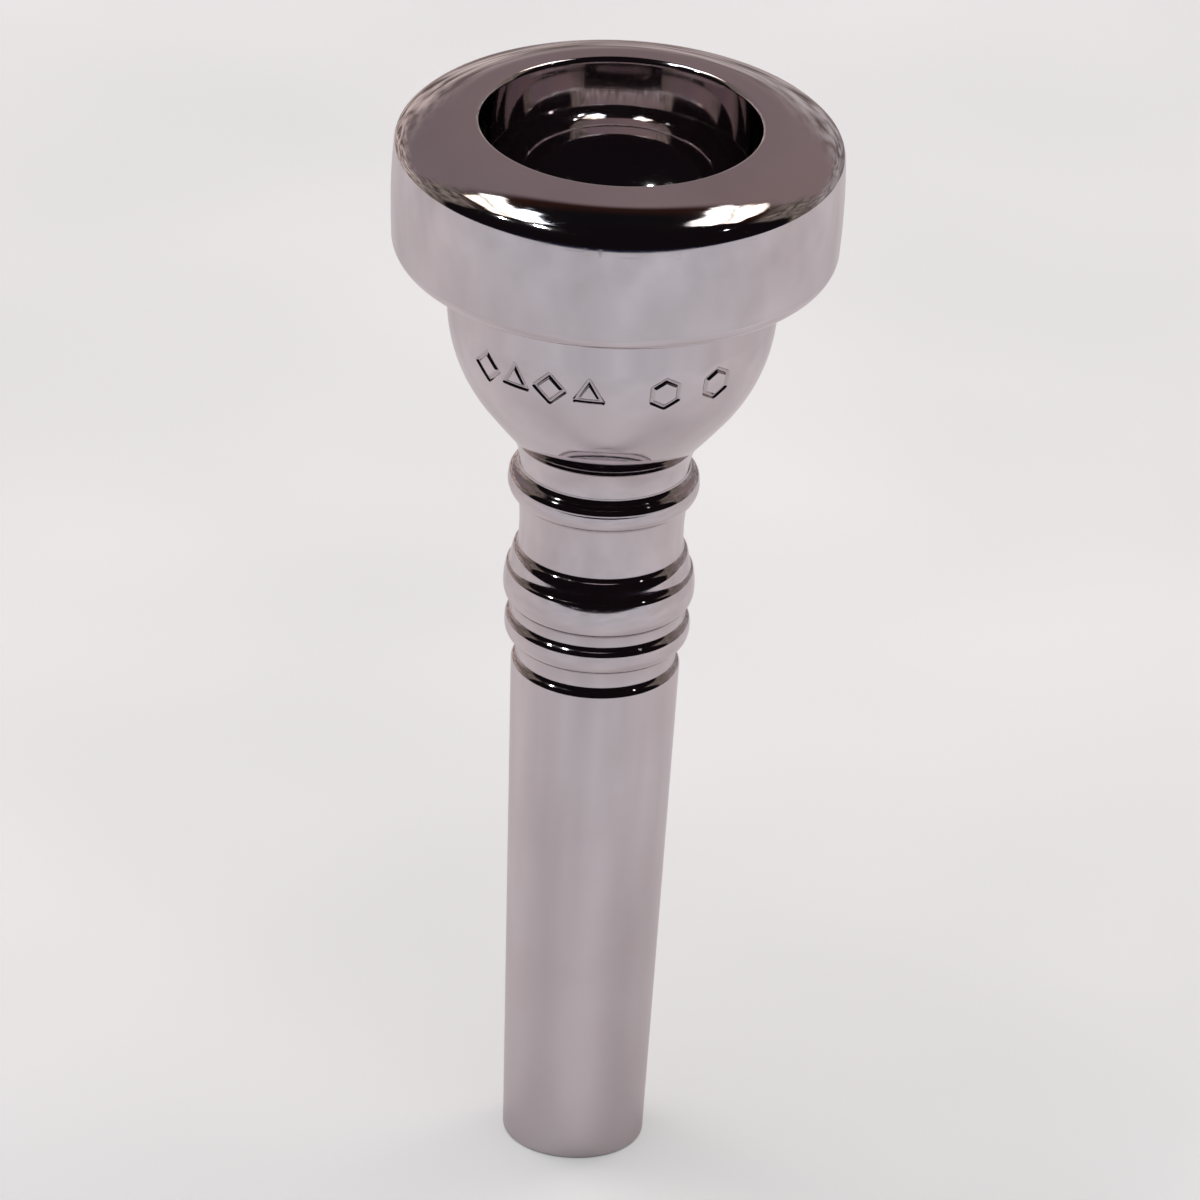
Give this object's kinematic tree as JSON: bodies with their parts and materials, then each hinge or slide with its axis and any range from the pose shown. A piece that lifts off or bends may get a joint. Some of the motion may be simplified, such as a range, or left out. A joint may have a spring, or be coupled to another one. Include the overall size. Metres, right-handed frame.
{
  "type": "cornet mouthpiece",
  "caption": "Silver-plated cup mouthpiece for a small brass instrument: screw-on rim, bowl-shaped cup with throat, and tapered shank with turned beads and a flared backbore.",
  "frame": {"origin": "centre of the shank's end face, on the bore's axis, where the mouthpiece stands as in the picture", "axes": "+Z along the bore from the shank's end up to the rim; X and Y are equivalent, and the marks on the cup face -Y"},
  "size_m": [0.0276, 0.0276, 0.0707],
  "materials": {
    "silver_rim": "polished",
    "silver_cup": "polished",
    "silver_shank": "polished"
  },
  "bodies": {
    "shank": {"shank": "silver_shank"},
    "cup": {"cup": "silver_cup"},
    "rim": {"rim": "silver_rim"}
  },
  "joints": [
    {"name": "cup_unscrew", "type": "slide", "parent": "shank", "child": "cup", "axis": [0, 0, 1], "range_m": [0, 0.008]},
    {"name": "rim_unscrew", "type": "slide", "parent": "cup", "child": "rim", "axis": [0, 0, 1], "range_m": [0, 0.007]}
  ]
}
